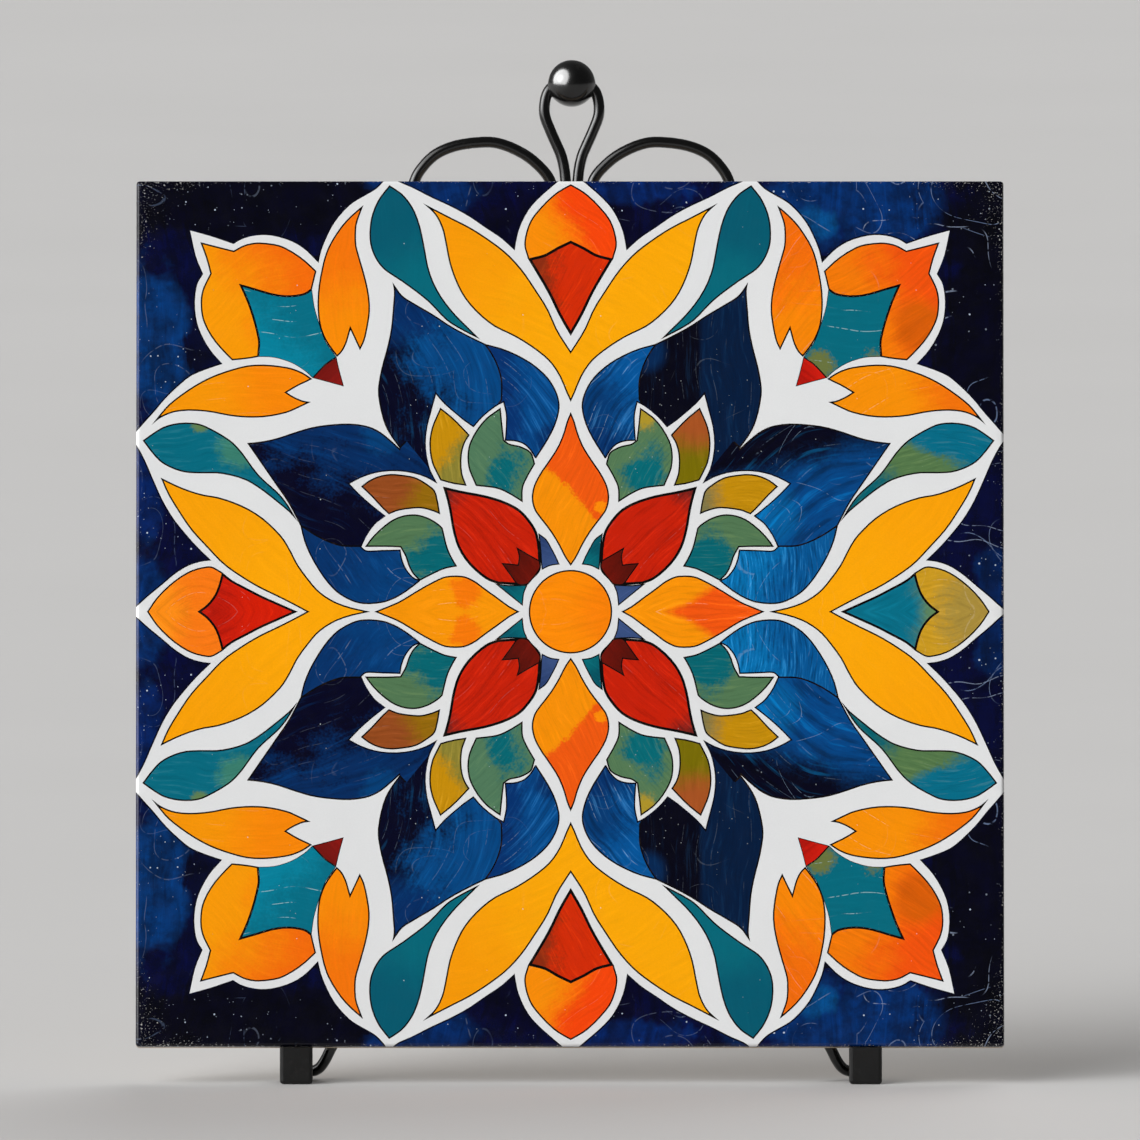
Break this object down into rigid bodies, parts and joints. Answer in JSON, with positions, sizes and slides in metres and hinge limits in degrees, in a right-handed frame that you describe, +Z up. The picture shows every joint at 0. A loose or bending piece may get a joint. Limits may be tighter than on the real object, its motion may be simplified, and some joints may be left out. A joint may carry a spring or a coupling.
{
  "type": "decorative ceramic tile on wire easel",
  "caption": "Square glazed tile with a fourfold floral rosette, leaning in a small black wire easel with a ball on top.",
  "frame": {"origin": "on the table, under the middle of the whole object's box", "axes": "+Z up, -Y the way the tile's decorated face looks, +X to the right as seen from the front"},
  "size_m": [0.2032, 0.0988, 0.2365],
  "materials": {
    "glazed_tile": "glossy multicolour glaze on the front, bare fired clay on the back",
    "black_enamel": "smooth black enamel on steel wire, half gloss to gloss",
    "black_rubber": "satin moulded rubber"
  },
  "bodies": {
    "root": {"ceramic_tile": "glazed_tile", "easel_ball": "black_enamel", "easel_leg_left": "black_enamel", "easel_leg_right": "black_enamel", "easel_scroll_left": "black_enamel", "easel_scroll_right": "black_enamel", "easel_back_leg": "black_enamel", "easel_foot_left": "black_rubber", "easel_foot_right": "black_rubber"}
  },
  "joints": []
}
